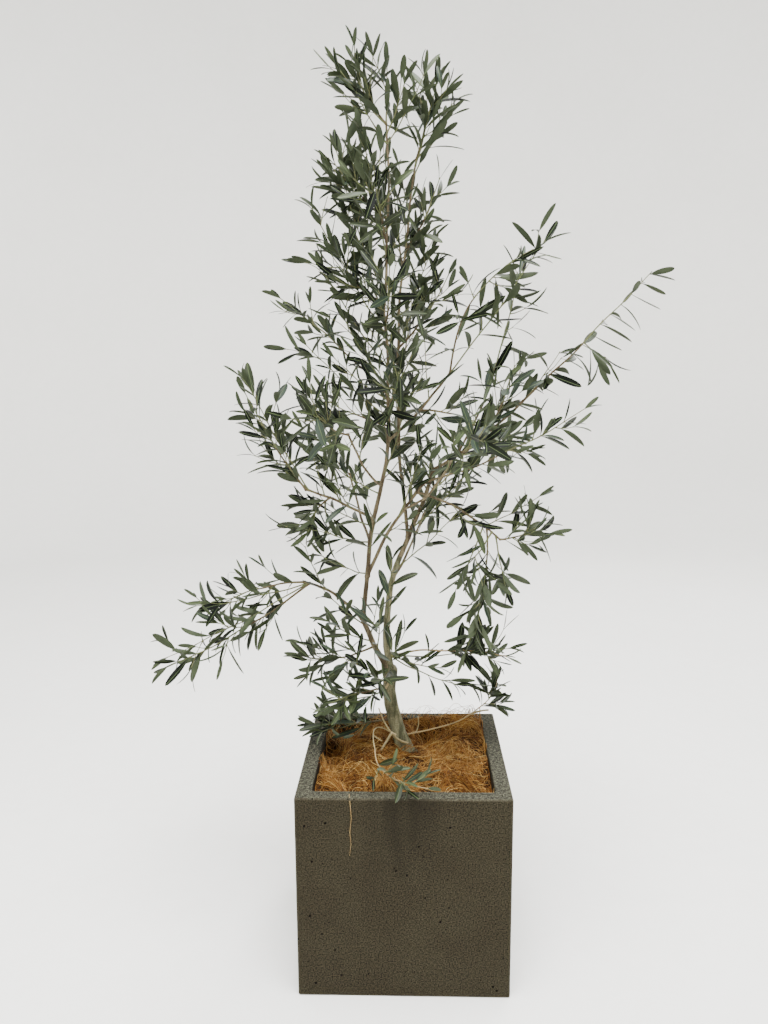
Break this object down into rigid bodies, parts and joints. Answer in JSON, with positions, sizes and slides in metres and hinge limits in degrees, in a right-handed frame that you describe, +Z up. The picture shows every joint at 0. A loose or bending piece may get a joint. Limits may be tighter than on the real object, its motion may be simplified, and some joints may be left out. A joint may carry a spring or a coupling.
{
  "type": "potted olive tree",
  "caption": "Potted olive tree: thin twining stems and an open crown of narrow grey-green leaves, in a square grey planter filled with soil and coir mulch.",
  "frame": {"origin": "centre of the planter's flat underside, on the ground", "axes": "+Z up along the tree, -Y towards the pictured front, +X to the right seen from the front"},
  "size_m": [1.0614, 0.6036, 1.7888],
  "materials": {
    "planter": "matt speckled fibre-stone with small pinholes",
    "soil": "dark moist potting soil",
    "coir": "loose tangled coir fibre",
    "bark": "smooth grey-green olive bark",
    "leaves": "leathery grey-green leaves, paler below"
  },
  "bodies": {
    "root": {"planter": "planter", "soil": "soil", "coir_mulch": "coir", "back_left_bough": "bark", "back_low_bough": "bark", "back_upright_lower": "bark", "back_upright_upper": "bark", "front_left_bough": "bark", "front_right_bough": "bark", "front_shoot": "bark", "leader_lower": "bark", "leader_middle": "bark", "leader_upper": "bark", "left_bough": "bark", "left_stem": "bark", "low_left_bough": "bark", "middle_stem": "bark", "right_arm": "bark", "right_low_bough": "bark", "right_middle_bough": "bark", "right_stem_lower": "bark", "right_stem_upper": "bark", "trunk": "bark", "leaves_back_left": "leaves", "leaves_back_low": "leaves", "leaves_basal_left": "leaves", "leaves_basal_right": "leaves", "leaves_centre_back": "leaves", "leaves_centre_front": "leaves", "leaves_centre_left": "leaves", "leaves_front_left": "leaves", "leaves_front_right": "leaves", "leaves_front_rim": "leaves", "leaves_hanging": "leaves", "leaves_high_back": "leaves", "leaves_high_front": "leaves", "leaves_high_left": "leaves", "leaves_high_right": "leaves", "leaves_left_inner": "leaves", "leaves_left_outer": "leaves", "leaves_left_spray": "leaves", "leaves_long_right": "leaves", "leaves_low_centre": "leaves", "leaves_low_left_cluster": "leaves", "leaves_low_left_high": "leaves", "leaves_low_left_reach": "leaves", "leaves_low_right": "leaves", "leaves_right_arch": "leaves", "leaves_right_back": "leaves", "leaves_right_centre": "leaves", "leaves_right_inner": "leaves", "leaves_right_low": "leaves", "leaves_right_reach": "leaves", "leaves_right_tall": "leaves", "leaves_top_left": "leaves", "leaves_top_right": "leaves", "leaves_upper_back": "leaves", "leaves_upper_front": "leaves", "leaves_upper_left": "leaves", "leaves_upper_right": "leaves"}
  },
  "joints": []
}
